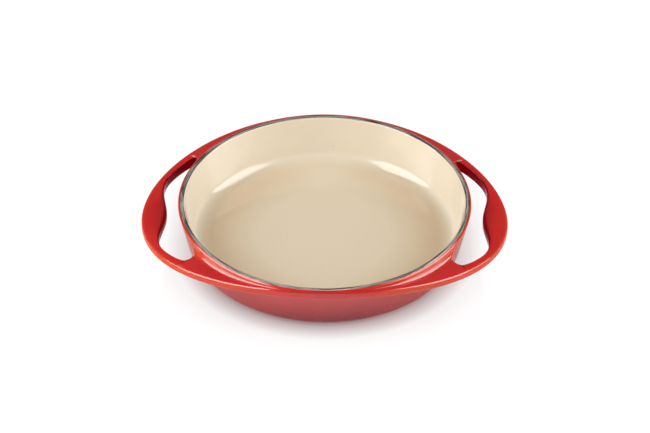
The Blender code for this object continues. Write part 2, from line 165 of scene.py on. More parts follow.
# Lamps, with angles in degrees and sizes in metres
PANELS = {
    "right": SimpleNamespace(centre=(1.44, -0.10, 1.09), yaw=18.9, tilt=17.5, roll=-20.8, size=(1.48, 2.34)),
    "left": SimpleNamespace(centre=(-1.24, -0.66, 1.12), yaw=146.1, tilt=12.3, roll=28.6, size=(2.26, 1.86)),
}
FILL = SimpleNamespace(centre=(0.0, -2.2, 1.0), yaw=-90.0, tilt=24.0, roll=0.0, size=(1.6, 1.2))
# The panels in reflections stand a little nearer than those that light the dish
MIRROR_NEARER = 0.97
SENSOR_WIDTH = 36.0
CAMERA_REACH = 50.0


def spaced(start, finish, count):
    """Values from start to finish in even steps."""
    return [start + (finish - start) * step / count for step in range(count + 1)]


def oval(centre, middle, wide, tall, turns):
    """Radii and heights of an upright oval arc."""
    return [(centre + wide * math.cos(turn), middle + tall * math.sin(turn)) for turn in turns]


def fillet_rise(radius, reach):
    """How far a concave fillet has risen at a distance past its centre."""
    reach = min(max(reach, 0.0), radius)
    return radius - math.sqrt(radius ** 2 - reach ** 2)


def length(label, description, default):
    """Property for one length of the dish."""
    return FloatProperty(
        name=label, description=description, default=default, min=0.0, subtype="DISTANCE", unit="LENGTH"
    )


def angle(label, description, degrees):
    """Property for one angle, given in degrees."""
    return FloatProperty(name=label, description=description, default=math.radians(degrees), subtype="ANGLE")


def share(label, description, default):
    """Property for a plain number."""
    return FloatProperty(name=label, description=description, default=default)


def colour(label, description, default):
    """Property for one colour."""
    return FloatVectorProperty(
        name=label, description=description, default=default, size=4, min=0.0, max=1.0, subtype="COLOR"
    )


class DishSizes(bpy.types.PropertyGroup):
    """Sizes of the pan, its collar and its two handle loops."""

    overall_length: length("Length", "Over both handles", CAD_HIGH.x - CAD_LOW.x)
    overall_width: length("Width", "Across the collar", CAD_HIGH.y - CAD_LOW.y)
    height: length("Height", "From the foot ring to the rim", IRON_HIGH.z - IRON_LOW.z)
    rim_radius: length("Rim radius", "Outer radius of the bare rim band", 133.0 * MM)
    rim_band: length("Rim band", "Width of the bare rim band", 3.4 * MM)
    rim_round: length("Rim rounding", "Rounding of the rim band's edges", 0.25 * MM)
    lip_width: length("Lip width", "How far the enamelled lip stands out from the rim", 1.9 * MM)
    lip_drop: length("Lip drop", "Height of the rounded lip", 1.6 * MM)
    inner_lip: length("Inner lip", "Rounding between the rim and the inside coat", 0.4 * MM)
    wall_draft: angle("Wall draft", "Slope of the wall", 12.4)
    floor: length("Floor", "Height of the cooking floor", 6.5 * MM)
    base_corner: length("Base corner", "Outer radius between wall and base", 12.0 * MM)
    cove_width: length("Cove width", "Width of the rounding between wall and floor", 18.0 * MM)
    cove_height: length("Cove height", "Height of the rounding between wall and floor", 9.0 * MM)
    foot_inset: length("Foot inset", "From the base corner to the foot ring", 2.0 * MM)
    foot_width: length("Foot width", "Width of the foot ring", 7.0 * MM)
    foot_height: length("Foot height", "How far the foot ring stands out", 0.9 * MM)
    outline_power: share("Outline power", "Fullness of the outline, 2 for an ellipse", 1.98)
    loop: length("Loop thickness", "Thickness of collar and loops at their outer edge", 7.0 * MM)
    loop_drop: length("Loop drop", "How far the collar starts below the rim", 0.7 * MM)
    droop: length("Droop", "How far the handle tips hang below the collar", 20.9 * MM)
    droop_power: share("Droop power", "How late the loops bend down", 2.0)
    arm_width: length("Arm width", "Width of a loop's slim arms", 6.8 * MM)
    arm_depth: length("Arm depth", "Thickness of the arms at the finger gap", 10.8 * MM)
    grip_width: length("Grip width", "Width of a loop's grip", 23.4 * MM)
    grip_length: length("Grip length", "Length of the swelling of the grip", 122.0 * MM)
    grip_depth: length("Grip depth", "Thickness of the grip at the finger gap", 14.0 * MM)
    grip_dip: length("Grip dip", "How far the grip's top falls to the finger gap", 1.0 * MM)
    nose: length("Nose", "Depth of the rounded outer edge", 3.0 * MM)
    nose_power: share("Nose squareness", "2 for a round outer edge, more for a squarer one", 4.0)
    collar_fillet: length("Collar fillet", "Radius between wall and collar", 3.5 * MM)
    under_fillet: length("Under fillet", "Radius under the collar", 1.5 * MM)
    hole_angle: angle("Gap end", "Angle from the handle's middle to the end of its finger gap", 32.4)
    hole_reach: length("Gap reach", "From the lip to the end point of the finger gap", 7.6 * MM)
    hole_power: share("Gap power", "Squareness of the finger gap's ends", 5.0)
    hole_edge: length("Gap edge", "Rounding of the finger gap's edges", 1.6 * MM)
    end_edge: length("Gap end edge", "Rounding of the edges at the finger gap's ends", 0.8 * MM)
    grip_edge: length("Grip edge", "Rounding of the grip's inner edge", 4.5 * MM)
    web_start: share("Web start", "Share of the gap where its wall side leaves the pan", 0.66)
    web_full: share("Web end", "Share of the gap where its wall side is a full edge", 0.97)
    enamel: length("Enamel", "Thickness of the enamel", 0.5 * MM)
    clearance: length("Clearance", "Gap between enamel and iron", 0.3 * MM)
    coat_inset: length("Coat inset", "How far the coats stay below the rim", 0.1 * MM)
    coat_to_rim: length("Coat to rim", "From the rim band to each coat", 0.06 * MM)


class Finishes(bpy.types.PropertyGroup):
    """Colours and gloss of enamel and iron."""

    red: colour("Red enamel", "Outside of the dish", (0.60, 0.018, 0.014, 1.0))
    red_thick: colour("Thick red", "Red enamel where it has run thick", (0.53, 0.009, 0.012, 1.0))
    # Painted shade: this red darkens the outer wall towards the foot, standing in for the dim light from the
    # shadowed floor below it.
    low_shade_red: colour("Low red", "Red enamel sprayed darker towards the foot", (0.08, 0.001, 0.008, 1.0))
    # Painted shade: near-black red at the very foot, standing in for the contact shadow where the dish meets
    # the floor.
    foot_shade_red: colour("Foot red", "Red enamel where it ends at the foot", (0.06, 0.008, 0.012, 1.0))
    # Painted shade: darker red on the grips' inner edges, which face away from the lamps.
    grip_shade_red: colour("Grip red", "Thicker red enamel on the grips' inner edges", (0.33, 0.014, 0.018, 1.0))
    # Partly thin enamel and partly painted light: lighter orange on the steep outward sides, standing in for
    # the bright floor they reflect.
    steep_thin_and_lit_red: colour("Steep red", "Thinner red enamel on the steep outer sides", (0.66, 0.060, 0.020, 1.0))
    # Painted shade: dark crimson on faces turned inwards or down, inside the finger gaps, where little light
    # falls.
    inner_shade_red: colour("Inner red", "Thicker red enamel inside the finger gaps", (0.28, 0.0, 0.010, 1.0))
    red_thin: colour("Thin red", "Red enamel where it has drawn off an edge", (0.72, 0.075, 0.028, 1.0))
    sand: colour("Sand enamel", "Inside wall of the dish", (0.92, 0.82, 0.66, 1.0))
    sand_warm: colour("Warm sand", "Sand enamel in its darker clouds", (0.90, 0.80, 0.63, 1.0))
    sand_low: colour("Low sand", "Sand enamel on the cooking floor", (0.75, 0.635, 0.47, 1.0))
    # Painted shade: darker, warmer sand in a ring where the floor meets the wall, standing in for the walls'
    # shade and their warm bounce light.
    sand_ring_shade: colour("Sand ring", "Sand enamel where the floor begins to rise", (0.675, 0.525, 0.355, 1.0))
    sand_thin: colour("Thin sand", "Sand enamel where it has drawn off an edge", (0.84, 0.76, 0.62, 1.0))
    gloss: share("Enamel roughness", "Roughness of the enamel", 0.035)
    iron: colour("Bare iron", "Ground rim and foot", (0.25, 0.226, 0.198, 1.0))
    iron_dark: colour("Iron pits", "Pits and scratches of the bare iron", (0.10, 0.085, 0.07, 1.0))
    iron_gloss: share("Iron roughness", "Roughness of the bare iron", 0.42)


class Studio(bpy.types.PropertyGroup):
    """Camera, floor and light."""

    lens: FloatProperty(name="Lens", description="Focal length in millimetres", default=155.08, min=1.0)
    distance: length("Camera distance", "From the middle of the rim to the camera", 2.57563)
    elevation: angle("Elevation", "Height of the camera above the rim", 37.2017)
    pitch: angle("Pitch", "Tilt of the camera away from the rim's middle", -0.3485)
    yaw: angle("Yaw", "Sideways turn of the camera away from the rim's middle", -0.0078)
    roll: angle("Roll", "Camera roll", 0.35)
    turn: angle("Turn", "Turn of the camera round the dish", 1.0)
    floor_colour: colour("Floor", "Studio floor", (0.85, 0.85, 0.85, 1.0))
    floor_glow: share("Floor glow", "Brightness of the floor that the camera sees", 0.95)
    # Painted shadow: the floor's glow takes this colour where the dish stands close, within the reach below,
    # in place of a contact shadow.
    floor_painted_shadow: colour("Floor shade", "Floor right at the foot of the dish", (0.27, 0.12, 0.12, 1.0))
    shade_reach: length("Shade reach", "How far the dish darkens the floor", 18.5 * MM)
    floor_mirror: share("Floor in reflections", "How much whiter reflections see the floor", 0.20)
    panel: share("Panel radiance", "Brightness of the two soft panels", 3.15)
    panel_mirror: share("Panel in reflections", "Brightness of the panels in reflections", 10.8)
    fill: share("Fill radiance", "Brightness of the soft fill beside the camera", 2.0)
    sky_low: colour("Walls", "Studio walls near the floor", (0.13, 0.13, 0.13, 1.0))
    sky_high: colour("Ceiling", "Studio ceiling", (0.06, 0.06, 0.06, 1.0))
    sky_mirror: share("Walls in reflections", "How much brighter reflections see the walls", 3.2)


def read_sizes():
    """The panel's sizes as plain numbers, with the sizes that follow from them."""
    panel = bpy.context.scene.tatin_sizes
    size = SimpleNamespace(**{name: getattr(panel, name) for name in DishSizes.__annotations__})
    size.lip_radius = size.rim_radius + size.lip_width
    size.inner_rim = size.rim_radius - size.rim_band
    size.well_radius = size.inner_rim - size.clearance - size.inner_lip
    size.hole_radius = size.lip_radius + size.hole_reach
    size.slope = math.tan(size.wall_draft)
    size.slant = math.cos(size.wall_draft)
    size.corner_height = size.foot_height + size.base_corner
    fall = size.height - size.lip_drop - size.corner_height
    size.corner_radius = size.lip_radius - size.slope * fall - size.base_corner / size.slant
    size.foot_outer = size.corner_radius - size.foot_inset
    size.foot_inner = size.foot_outer - size.foot_width
    return size


def smooth(x):
    """Ease from 0 to 1 as x goes from 0 to 1."""
    x = min(max(x, 0.0), 1.0)
    return x * x * (3.0 - 2.0 * x)


def polar(radius, turn, height):
    return Vector((radius * math.cos(turn), radius * math.sin(turn), height))


def plan_radius(point):
    return math.hypot(point.x, point.y)


def wall_radius(size, z):
    """Outer radius of the tapered wall at a height."""
    return size.lip_radius - size.slope * (size.height - size.lip_drop - z)


def outline_radius(size, turn):
    """Distance from the centre to the outer edge of collar and handles."""
    along = (abs(math.cos(turn)) / (0.5 * size.overall_length)) ** size.outline_power
    across = (abs(math.sin(turn)) / (0.5 * size.overall_width)) ** size.outline_power
    return (along + across) ** (-1.0 / size.outline_power)


def grip_share(size, turn):
    """1 at the middle of the grip, 0 where the slim arms begin."""
    y = outline_radius(size, turn) * math.sin(turn)
    away = min(y / (0.5 * size.grip_length), 1.0)
    return math.cos(QUARTER * away) ** 2


def bar_width(size, turn):
    """Width of the handle bar: slim arms, wide grip."""
    return size.arm_width + (size.grip_width - size.arm_width) * grip_share(size, turn)


def loop_top(size, point):
    """Height of the loop's top face: it droops from the rim to the handle tips."""
    reach = abs(point.x) / (0.5 * size.overall_length)
    return size.height - size.loop_drop - size.droop * reach ** size.droop_power


def hole_opening(size, along):
    """How far the finger gap is open at a share of its half length."""
    return max(1.0 - along ** size.hole_power, 0.0) ** (1.0 / size.hole_power)


def gap_edge(size, along):
    """Rounding of the finger gap's edges at a share of its half length."""
    sharper = smooth((along - SHARPER_FROM) / (1.0 - SHARPER_FROM))
    return size.hole_edge + (size.end_edge - size.hole_edge) * sharper


def hole_shares(size, count):
    """Shares of the finger gap's half length, evenly spaced along its rounded outline."""
    half_length = size.hole_radius * size.hole_angle
    end_width = END_WEIGHT * size.hole_reach
    samples = []
    travelled = 0.0
    before = (0.0, end_width)
    for left in spaced(1.0, 0.0, OUTLINE_SAMPLES):
        along = 1.0 - left ** END_POWER
        here = (along * half_length, hole_opening(size, along) * end_width)
        travelled += math.dist(before, here)
        samples.append((travelled, along))
        before = here
    shares = [0.0]
    for distance, along in samples:
        if distance >= travelled * len(shares) / count and len(shares) < count:
            shares.append(along)
    return shares


class Section:
    """Heights and radii of the collar or handle on one line out from the centre."""

    def __init__(self, size, steps, turn):
        self.size = size
        self.steps = steps
        self.turn = turn
        self.outline = outline_radius(size, turn)
        wide = self.outline - size.lip_radius
        foot = loop_top(size, polar(size.lip_radius, turn, 0.0))
        drop = size.height - foot
        self.lip_drop = min(size.lip_drop, ROOM.lip * drop)
        rise = ROOM.rise * (drop - self.lip_drop) / (1.0 + math.sin(size.wall_draft))
        self.fillet = min(size.collar_fillet, rise, ROOM.fillet * wide)
        self.nose = min(size.nose, ROOM.nose * (wide - self.fillet))
        self.root = polar(wall_radius(size, foot - size.loop), turn, 0.0)
        ledge = self.outline - self.nose - self.root.length
        self.under = min(size.under_fillet, ROOM.under * ledge)
        self.grip = grip_share(size, turn)
        self.bar = bar_width(size, turn)
        self.depth = size.arm_depth + (size.grip_depth - size.arm_depth) * self.grip

    def inward(self, point):
        """0 on the outline, 1 on the inner edge of the grip."""
        return min(max((self.outline - plan_radius(point)) / self.bar, 0.0), 1.0)

    def top(self, point):
        """Top surface above a plan point, with the concave fillet up to the lip."""
        height = loop_top(self.size, point) - self.size.grip_dip * self.grip * self.inward(point) ** 2
        return height + fillet_rise(self.fillet, self.fillet_centre(point) - plan_radius(point))

    def underside(self, point):
        """Height of the plain underside: the loop is thicker on its inner side."""
        extra = (self.depth - self.size.loop) * smooth(self.inward(point))
        return loop_top(self.size, point) - self.size.loop - extra

    def bottom(self, point):
        """Underside below a plan point, with the fillet down to the wall."""
        return self.underside(point) - fillet_rise(self.under, self.under_centre(point) - plan_radius(point))

    def beside_wall(self, height, radius):
        """Where an arc's centre lies for the arc to touch the wall."""
        return wall_radius(self.size, height) + radius / self.size.slant

    def fillet_centre(self, point):
        return self.beside_wall(loop_top(self.size, point) + self.fillet, self.fillet)

    def under_centre(self, point):
        return self.beside_wall(self.underside(point) - self.under, self.under)

    def raised(self, profile):
        """Points on this line from their radii and heights."""
        return [polar(radius, self.turn, height) for radius, height in profile]

    def lip(self):
        """Rounded lip from the rim's edge to the top of the wall."""
        size = self.size
        start = size.rim_radius + size.coat_to_rim
        low = size.height - self.lip_drop
        turns = spaced(QUARTER, 0.0, self.steps.edge)
        return self.raised(oval(start, low, size.lip_radius - start, self.lip_drop - size.coat_inset, turns))

    def wall_fillet(self, limit):
        """Concave fillet from wall to top face, cut short at a limit radius."""
        foot = polar(self.size.lip_radius, self.turn, 0.0)
        middle = loop_top(self.size, foot) + self.fillet
        return self.wall_arc(self.fillet_centre(foot), middle, self.fillet, limit, 1.0)

    def under_arc(self, limit):
        """Fillet from the underside back to the wall, from a limit radius inwards."""
        middle = self.underside(self.root) - self.under
        return self.wall_arc(self.under_centre(self.root), middle, self.under, limit, -1.0)[::-1]

    def wall_arc(self, centre, middle, radius, limit, way):
        """Concave arc from the wall to a limit radius, above or below; it ends half a step short."""
        start = math.pi - self.size.wall_draft
        reach = min(max((centre - limit) / radius, 0.0), self.size.slant)
        finish = math.pi + way * math.acos(reach)
        shares = [step / (self.steps.fillet - 0.5) for step in range(self.steps.fillet)]
        turns = [start + (finish - start) * along for along in shares]
        return self.raised(oval(centre, middle, radius, radius, turns))

    def outer_edge(self):
        """Rounded outer edge, from the top face round to the underside."""
        power = 2.0 / self.size.nose_power
        points = []
        for turn in spaced(0.0, math.pi, self.steps.nose):
            out = max(math.sin(turn), 0.0) ** power
            rise = math.copysign(abs(math.cos(turn)) ** power, math.cos(turn))
            spot = polar(self.outline - self.nose * (1.0 - out), self.turn, 0.0)
            high, low = self.top(spot), self.bottom(spot)
            spot.z = 0.5 * (high + low) + 0.5 * (high - low) * rise
            points.append(spot)
        return points

    def plain_wall(self, count):
        """Points down the bare wall beside an open finger gap."""
        size = self.size
        high = size.height - self.lip_drop
        low = self.underside(self.root) - self.under
        return self.raised((wall_radius(size, height), height) for height in spaced(high, low, count)[1:])

    def base(self):
        """Rounded base corner, then the flat underside in to the foot ring."""
        size = self.size
        turns = spaced(-size.wall_draft, -QUARTER, self.steps.corner)
        corner = oval(size.corner_radius, size.corner_height, size.base_corner, size.base_corner, turns)
        return self.raised([*corner, (size.foot_outer + size.clearance, size.foot_height)])

    def across(self, height, start, finish):
        """Points evenly between two plan points, on the top or the bottom surface."""
        points = []
        for along in spaced(0.0, 1.0, self.steps.top + 1)[1:-1]:
            spot = start.lerp(finish, along)
            spot.z = height(spot)
            points.append(spot)
        return points

    def collar_column(self):
        """Points from the rim's edge round the solid collar and down to the foot."""
        nose = self.outer_edge()
        limit = self.outline - self.nose
        fillet = self.wall_fillet(limit)
        under = self.under_arc(limit)
        above = fillet[-1].lerp(nose[0], 0.5)
        above.z = self.top(above)
        below = nose[-1].lerp(under[0], 0.5)
        below.z = self.bottom(below)
        upper = self.across(self.top, fillet[-1], above) + [above] + self.across(self.top, above, nose[0])
        lower = self.across(self.bottom, nose[-1], below) + [below]
        lower += self.across(self.bottom, below, under[0])
        return self.lip() + fillet + upper + nose + lower + under + self.base()

    def gap_side(self, edge, inward, radius):
        """Side of the finger gap, top to bottom, with both of its edges rounded."""
        turns = spaced(0.0, QUARTER, self.steps.edge)
        points = []
        for surface, depth, order in ((self.top, -radius, turns), (self.bottom, radius, turns[::-1])):
            for turn in order:
                spot = edge + inward * radius * (1.0 - math.sin(turn))
                spot.z = surface(spot) + depth * (1.0 - math.cos(turn))
                points.append(spot)
        return points


def plan_normals(points, end, sign):
    """Plan normals of one edge of the finger gap; it meets the centre line square."""
    normals = []
    mirrored = Vector((points[1].x, -points[1].y, 0.0))
    for index, point in enumerate(points):
        before = points[index - 1] if index else mirrored
        after = points[index + 1] if index + 1 < len(points) else end
        along = (after - before).normalized()
        normals.append(Vector((along.y, -along.x, 0.0)) * sign)
    return normals


class Shell:
    """Quarter of the outer surface as points, normals and four-sided faces."""

    def __init__(self, size, steps):
        self.size = size
        self.steps = steps
        self.shares = hole_shares(size, steps.hole)
        self.points = []
        self.faces = []
        self.top = []
        self.bottom = []
        self.build()
        self.normals = self.point_normals()

    def turns(self):
        """Every angle of the quarter at which the mesh has a column."""
        end = self.size.hole_angle
        return [along * end for along in self.shares] + spaced(end, QUARTER, self.steps.collar)

    def add(self, points):
        start = len(self.points)
        self.points.extend(points)
        return list(range(start, len(self.points)))

    def strip(self, first, second, closed=False):
        """Faces between two columns of points."""
        count = len(first)
        for index in range(count if closed else count - 1):
            after = (index + 1) % count
            self.faces.append((first[index], first[after], second[after], second[index]))

    def build(self):
        walls, bars = self.gap_columns()
        last = self.closing_columns(walls, bars)
        for first, second in zip(walls, walls[1:]):
            self.strip(first, second)
        for first, second in zip(bars, bars[1:]):
            self.strip(first, second, closed=True)
        for turn in self.turns()[len(self.shares) + 1:]:
            column = self.add(Section(self.size, self.steps, turn).collar_column())
            self.strip(last, column)
            self.top.append(column[0])
            self.bottom.append(column[-1])
            last = column

    def gap_edges(self):
        """Wall side and bar side of the finger gap as plan points."""
        size = self.size
        near, far = [], []
        for along in self.shares:
            turn = along * size.hole_angle
            opening = hole_opening(size, along)
            outer = outline_radius(size, turn) - bar_width(size, turn)
            inner = wall_radius(size, loop_top(size, polar(size.lip_radius, turn, 0.0)))
            near.append(polar(size.hole_radius - (size.hole_radius - inner) * opening, turn, 0.0))
            far.append(polar(size.hole_radius + (outer - size.hole_radius) * opening, turn, 0.0))
        return near, far

    def gap_columns(self):
        """Wall column and handle-bar ring at each angle where the finger gap is open."""
        size = self.size
        end = polar(size.hole_radius, size.hole_angle, 0.0)
        near, far = self.gap_edges()
        near_normals = plan_normals(near, end, -1.0)
        far_normals = plan_normals(far, end, 1.0)
        walls, bars = [], []
        for index, along in enumerate(self.shares):
            section = Section(size, self.steps, along * size.hole_angle)
            inner = wall_radius(size, loop_top(size, polar(size.lip_radius, section.turn, 0.0)))
            edge = gap_edge(size, along)
            near_edge = min(edge, ROOM.gap_edge * (plan_radius(near[index]) - inner))
            side = section.gap_side(near[index], near_normals[index], near_edge)
            web = smooth((along - size.web_start) / (size.web_full - size.web_start))
            walls.append(self.add(self.wall_column(section, side, web)))
            far_edge = edge + (size.grip_edge - edge) * section.grip
            side = section.gap_side(far[index], far_normals[index], far_edge)
            bars.append(self.add(self.bar_ring(section, side)))
            self.top.append(walls[-1][0])
            self.bottom.append(walls[-1][-1])
        return walls, bars

    def wall_column(self, section, side, web):
        """Column down the pan's wall, with the gap's edge standing out from it by a share."""
        fillet = section.wall_fillet(plan_radius(side[0]))
        under = section.under_arc(plan_radius(side[-1]))
        edge = fillet + section.across(section.top, fillet[-1], side[0]) + side
        edge += section.across(section.bottom, side[-1], under[0]) + under
        plain = section.plain_wall(len(edge))
        middle = [a.lerp(b, web) for a, b in zip(plain, edge)]
        return section.lip() + middle + section.base()

    def bar_ring(self, section, side):
        """Ring of points round the handle bar."""
        nose = section.outer_edge()
        ring = nose + section.across(section.bottom, nose[-1], side[-1])
        ring += side[::-1] + section.across(section.top, side[0], nose[0])
        return ring

    def closing_columns(self, walls, bars):
        """Last station, where the wall side and the bar side of the gap meet."""
        size = self.size
        section = Section(size, self.steps, size.hole_angle)
        end = polar(size.hole_radius, size.hole_angle, 0.0)
        inward = Vector((-math.sin(size.hole_angle), math.cos(size.hole_angle), 0.0))
        side_points = section.gap_side(end, inward, size.end_edge)
        fillet = section.wall_fillet(size.hole_radius)
        under = section.under_arc(size.hole_radius)
        nose_points = section.outer_edge()
        side = self.add(side_points)
        head = self.add(section.lip() + fillet + section.across(section.top, fillet[-1], side_points[0]))
        above = self.add(section.across(section.top, side_points[0], nose_points[0]))
        nose = self.add(nose_points)
        below = self.add(section.across(section.bottom, nose_points[-1], side_points[-1]))
        tail = self.add(section.across(section.bottom, side_points[-1], under[0]) + under + section.base())
        walls.append(head + side + tail)
        bars.append(nose + below + side[::-1] + above)
        self.top.append(head[0])
        self.bottom.append(tail[-1])
        return head + [side[0]] + above + nose + below + [side[-1]] + tail

    def sunk(self, depth):
        """The points sunk by a depth, and pushed further in where a sharp edge would let them out."""
        if not depth:
            return self.points
        surface = BVHTree.FromPolygons(self.points, self.faces)
        sunk = []
        for point, normal in zip(self.points, self.normals):
            spot = point - normal * depth
            for _ in range(SINK_TRIES):
                near, outward, _, distance = surface.find_nearest(spot)
                if (spot - near).dot(outward) < 0.0 and distance > SINK_SHARE * depth:
                    break
                spot = near - outward * depth
            spot.x = 0.0 if abs(point.x) < MERGE_DISTANCE else spot.x
            spot.y = 0.0 if abs(point.y) < MERGE_DISTANCE else spot.y
            sunk.append(spot)
        return sunk

    def point_normals(self):
        """Point normals, kept inside the two mirror planes where a point lies on one."""
        sums = [Vector() for _ in self.points]
        for face in self.faces:
            corners = [self.points[index] for index in face]
            normal = (corners[2] - corners[0]).cross(corners[3] - corners[1]).normalized()
            for index in face:
                sums[index] += normal
        for point, normal in zip(self.points, sums):
            if abs(point.y) < MERGE_DISTANCE:
                normal.y = 0.0
            if abs(point.x) < MERGE_DISTANCE:
                normal.x = 0.0
        return [normal.normalized() for normal in sums]


def well_profile(size, steps, depth):
    """Inside of the pan from below the rim, down the wall and a flat oval cove, sunk by a depth into it."""
    wide = size.cove_width + depth
    tall = size.cove_height + depth
    middle = size.floor - depth + tall
    start = math.atan(tall * size.slope / wide)
    top = size.height - size.lip_drop
    high = size.well_radius + depth / size.slant
    centre = high - size.slope * (top - middle + tall * math.sin(start)) - wide * math.cos(start)
    return [(high, top), *oval(centre, middle, wide, tall, spaced(-start, -QUARTER, steps.well))]


class Quarter:
    """Mesh of one quarter of a piece, which two mirrors complete."""

    def __init__(self, name, turns):
        self.name = name
        self.turns = turns
        self.mesh = bmesh.new()

    def add_shell(self, shell, depth, flip=False):
        """The outer surface sunk by a depth; returns its top and bottom rows."""
        verts = [self.mesh.verts.new(point) for point in shell.sunk(depth)]
        for face in shell.faces:
            corners = [verts[index] for index in face]
            self.mesh.faces.new(corners[::-1] if flip else corners)
        return [verts[i] for i in shell.top], [verts[i] for i in shell.bottom]

    def row(self, radius, height):
        return [self.mesh.verts.new(polar(radius, turn, height)) for turn in self.turns]

    def join(self, first, second):
        for index in range(len(first) - 1):
            self.mesh.faces.new((first[index], second[index], second[index + 1], first[index + 1]))

    def lathe(self, profile, start=()):
        """Turn a profile of radii and heights, from a row if one is given, and close its end."""
        rows = [self.row(radius, height) for radius, height in profile]
        rows = [start, *rows] if start else rows
        for first, second in zip(rows, rows[1:]):
            self.join(first, second)
        self.cap(rows[-1], profile[-1][1])
        return rows[0]

    def cap(self, row, height):
        """Close a row to the middle of the dish."""
        centre = self.mesh.verts.new((0.0, 0.0, height))
        for index in range(len(row) - 1):
            self.mesh.faces.new((row[index], centre, row[index + 1]))

    def finish(self, material, node, slot):
        """Turn the quarter into a piece that stands for its CAD node."""
        bmesh.ops.recalc_face_normals(self.mesh, faces=self.mesh.faces)
        data = bpy.data.meshes.new(self.name)
        self.mesh.to_mesh(data)
        self.mesh.free()
        data.shade_smooth()
        data.set_sharp_from_angle(angle=SHARP_ANGLE)
        data.materials.append(material)
        piece = bpy.data.objects.new(self.name, data)
        bpy.context.collection.objects.link(piece)
        mirror = piece.modifiers.new("Four quarters", "MIRROR")
        mirror.use_axis = (True, True, False)
        mirror.merge_threshold = MERGE_DISTANCE
        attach(piece, "root")
        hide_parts(node)
        return piece


def rounded(outer, inner, high, low, radius):
    """Profile over a flat ring with two rounded edges, from outside to inside."""
    middle = high - radius
    first = oval(outer - radius, middle, radius, radius, spaced(0.0, QUARTER, RIM_ROUND_STEPS))
    second = oval(inner + radius, middle, radius, radius, spaced(QUARTER, math.pi, RIM_ROUND_STEPS))
    return [(outer, low), *first, *second, (inner, low)]


def build_iron(size, material):
    """Iron casting, bare at the ground rim band and at the foot ring."""
    shell = Shell(size, IRON_STEPS)
    quarter = Quarter("cast_iron_body", shell.turns())
    depth = size.enamel + size.clearance
    top, bottom = quarter.add_shell(shell, depth)
    low = size.height - RIM_DEPTH * size.rim_round
    rim = rounded(size.rim_radius, size.inner_rim, size.height, low, size.rim_round)
    quarter.lathe(rim + well_profile(size, IRON_STEPS, depth), top)
    foot = rounded(size.foot_outer, size.foot_inner, 0.0, -size.foot_height - depth, size.rim_round)
    quarter.lathe([(radius, -height) for radius, height in foot], bottom)
    return quarter.finish(material, "iron_casting", "bare_cast_iron")


def build_outside_coat(size, material):
    """Red enamel over the outer wall, the collar and both loops."""
    shell = Shell(size, ENAMEL_STEPS)
    quarter = Quarter("outside_red_enamel", shell.turns())
    top, bottom = quarter.add_shell(shell, 0.0)
    back_top, back_bottom = quarter.add_shell(shell, size.enamel, flip=True)
    quarter.join(top, back_top)
    quarter.join(bottom, back_bottom)
    return quarter.finish(material, "exterior_enamel", "red_enamel")


def build_inside_coat(size, material):
    """Sand enamel inside the pan, with a rounded edge just below the rim band."""
    quarter = Quarter("inside_sand_enamel", spaced(0.0, QUARTER, COAT_STEPS))
    face = well_profile(size, ENAMEL_STEPS, 0.0)
    back = well_profile(size, ENAMEL_STEPS, size.enamel)
    inner, top = face[0]
    outer = size.inner_rim - size.coat_to_rim
    tall = size.lip_drop - size.coat_inset - 0.5 * size.enamel
    lip = oval(outer, top, outer - inner, tall, spaced(math.pi, QUARTER, LIP_ROUND_STEPS)[1:])
    first = quarter.lathe([*face[::-1], *lip, (outer, size.height - size.coat_inset - size.enamel), *back])
    quarter.cap(first, face[-1][1])
    return quarter.finish(material, "interior_enamel", "sand_enamel")


def build_underside_coat(size, material):
    """Red enamel on the recessed underside, inside the foot ring."""
    quarter = Quarter("underside_red_enamel", spaced(0.0, QUARTER, COAT_STEPS))
    radius = size.foot_inner - size.clearance
    first = quarter.lathe([(radius, size.foot_height), (radius, size.foot_height + size.enamel)])
    quarter.cap(first, size.foot_height)
    return quarter.finish(material, "underside_enamel", "red_enamel")


def feed(tree, node, inputs):
    """Give a node's inputs plain values or other nodes' sockets."""
    for name, value in inputs.items():
        if isinstance(value, bpy.types.NodeSocket):
            tree.links.new(value, node.inputs[name])
        else:
            node.inputs[name].default_value = value


def place(tree, kind, inputs=None, **settings):
    """Add a node with its settings and inputs."""
    node = tree.nodes.new(kind)
    for name, value in settings.items():
        setattr(node, name, value)
    feed(tree, node, inputs or {})
    return node


def math_node(tree, operation, first, second=0.0):
    """Output of a Math node."""
    return place(tree, "ShaderNodeMath", {0: first, 1: second}, operation=operation).outputs[0]


def product(tree, first, *factors):
    """Output of Math nodes that multiply all the values."""
    for factor in factors:
        first = math_node(tree, "MULTIPLY", first, factor)
    return first


def total(tree, first, *others):
    """Output of Math nodes that add up all the values."""
    for other in others:
        first = math_node(tree, "ADD", first, other)
    return first


def stretch(tree, value, low, high, to_low=0.0, to_high=1.0):
    """Output of a Map Range node."""
    inputs = {"Value": value, "From Min": low, "From Max": high, "To Min": to_low, "To Max": to_high}
    return place(tree, "ShaderNodeMapRange", inputs).outputs["Result"]


def fade(tree, mask, first, second):
    """A number that goes from first to second as the mask goes from 0 to 1."""
    return stretch(tree, mask, 0.0, 1.0, first, second)


def blend_colours(tree, mask, first, second):
    """Output of a colour mix: first where the mask is 0, second where it is 1."""
    inputs = {MIX_FACTOR: mask, MIX_FIRST: first, MIX_SECOND: second}
    return place(tree, "ShaderNodeMix", inputs, data_type="RGBA").outputs[MIX_RESULT]


def noise(tree, vector, scale, detail, roughness=0.5):
    inputs = {"Vector": vector, "Scale": scale, "Detail": detail, "Roughness": roughness}
    return place(tree, "ShaderNodeTexNoise", inputs).outputs["Fac"]


def bump(tree, height, distance, strength=1.0):
    inputs = {"Strength": strength, "Distance": distance, "Height": height}
    return place(tree, "ShaderNodeBump", inputs).outputs["Normal"]


